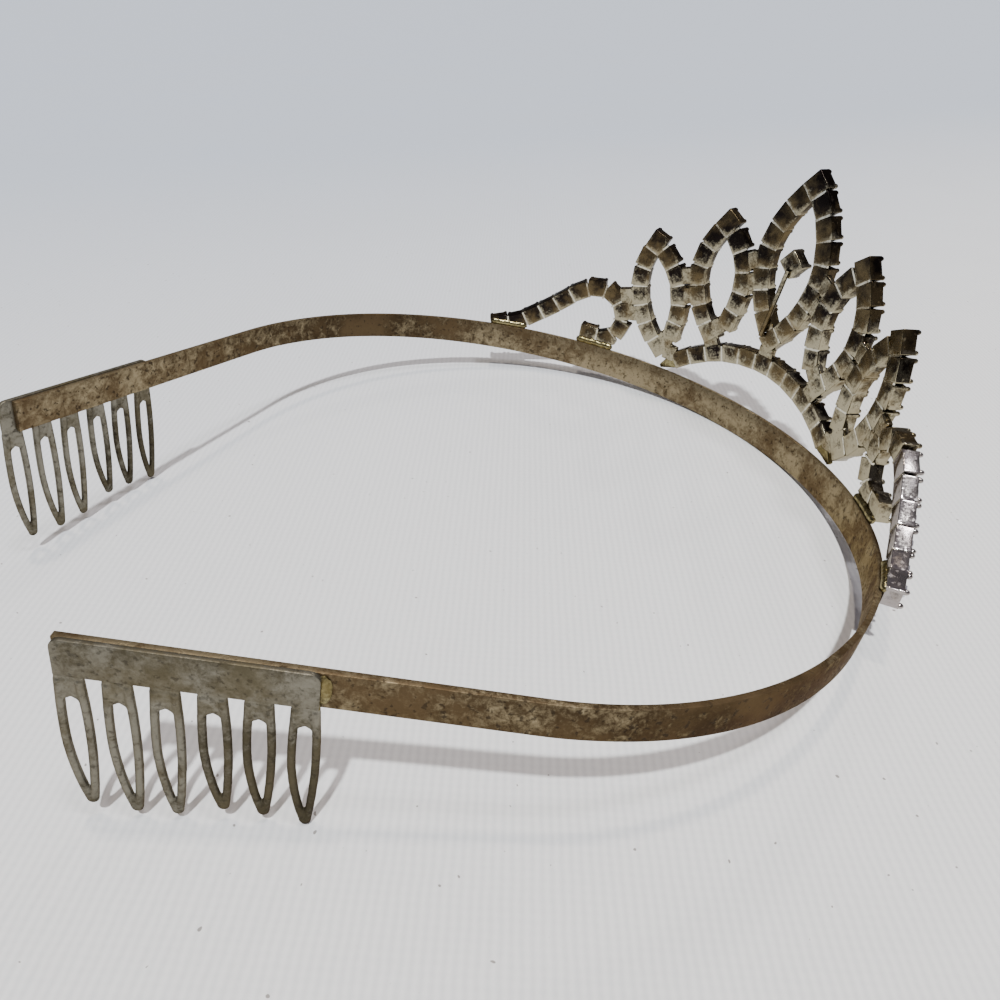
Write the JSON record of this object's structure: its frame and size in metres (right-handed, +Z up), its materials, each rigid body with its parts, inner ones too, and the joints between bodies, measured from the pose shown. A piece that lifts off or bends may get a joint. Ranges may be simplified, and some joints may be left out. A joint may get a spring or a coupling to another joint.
{
  "type": "pageant crown",
  "caption": "Silver headband crown with pointed leaves of square cups and clear stones over an arch, and a six-toothed comb on each end of its open band.",
  "frame": {"origin": "bottom centre of the whole crown's box, on the surface that it rests on", "axes": "+Z up, +Y from the ornament at the front to the combs at the rear, +X to the wearer's left"},
  "size_m": [0.1298, 0.1481, 0.0564],
  "materials": {
    "band_metal": "tarnished plating",
    "comb_metal": "tarnished plating",
    "cup_metal": "tarnished plating with solder",
    "stone": "cut and foiled"
  },
  "bodies": {
    "root": {"band": "band_metal", "comb_left": "comb_metal", "comb_right": "comb_metal", "arch": "cup_metal", "arch_stones": "stone", "scroll_left": "cup_metal", "scroll_left_stones": "stone", "scroll_right": "cup_metal", "scroll_right_stones": "stone", "outer_leaf_left": "cup_metal", "outer_leaf_left_stones": "stone", "outer_leaf_right": "cup_metal", "outer_leaf_right_stones": "stone", "inner_leaf_left": "cup_metal", "inner_leaf_left_stones": "stone", "inner_leaf_right": "cup_metal", "inner_leaf_right_stones": "stone", "center_leaf": "cup_metal", "center_leaf_stones": "stone", "center_post": "cup_metal", "center_post_stone": "stone"}
  },
  "joints": []
}
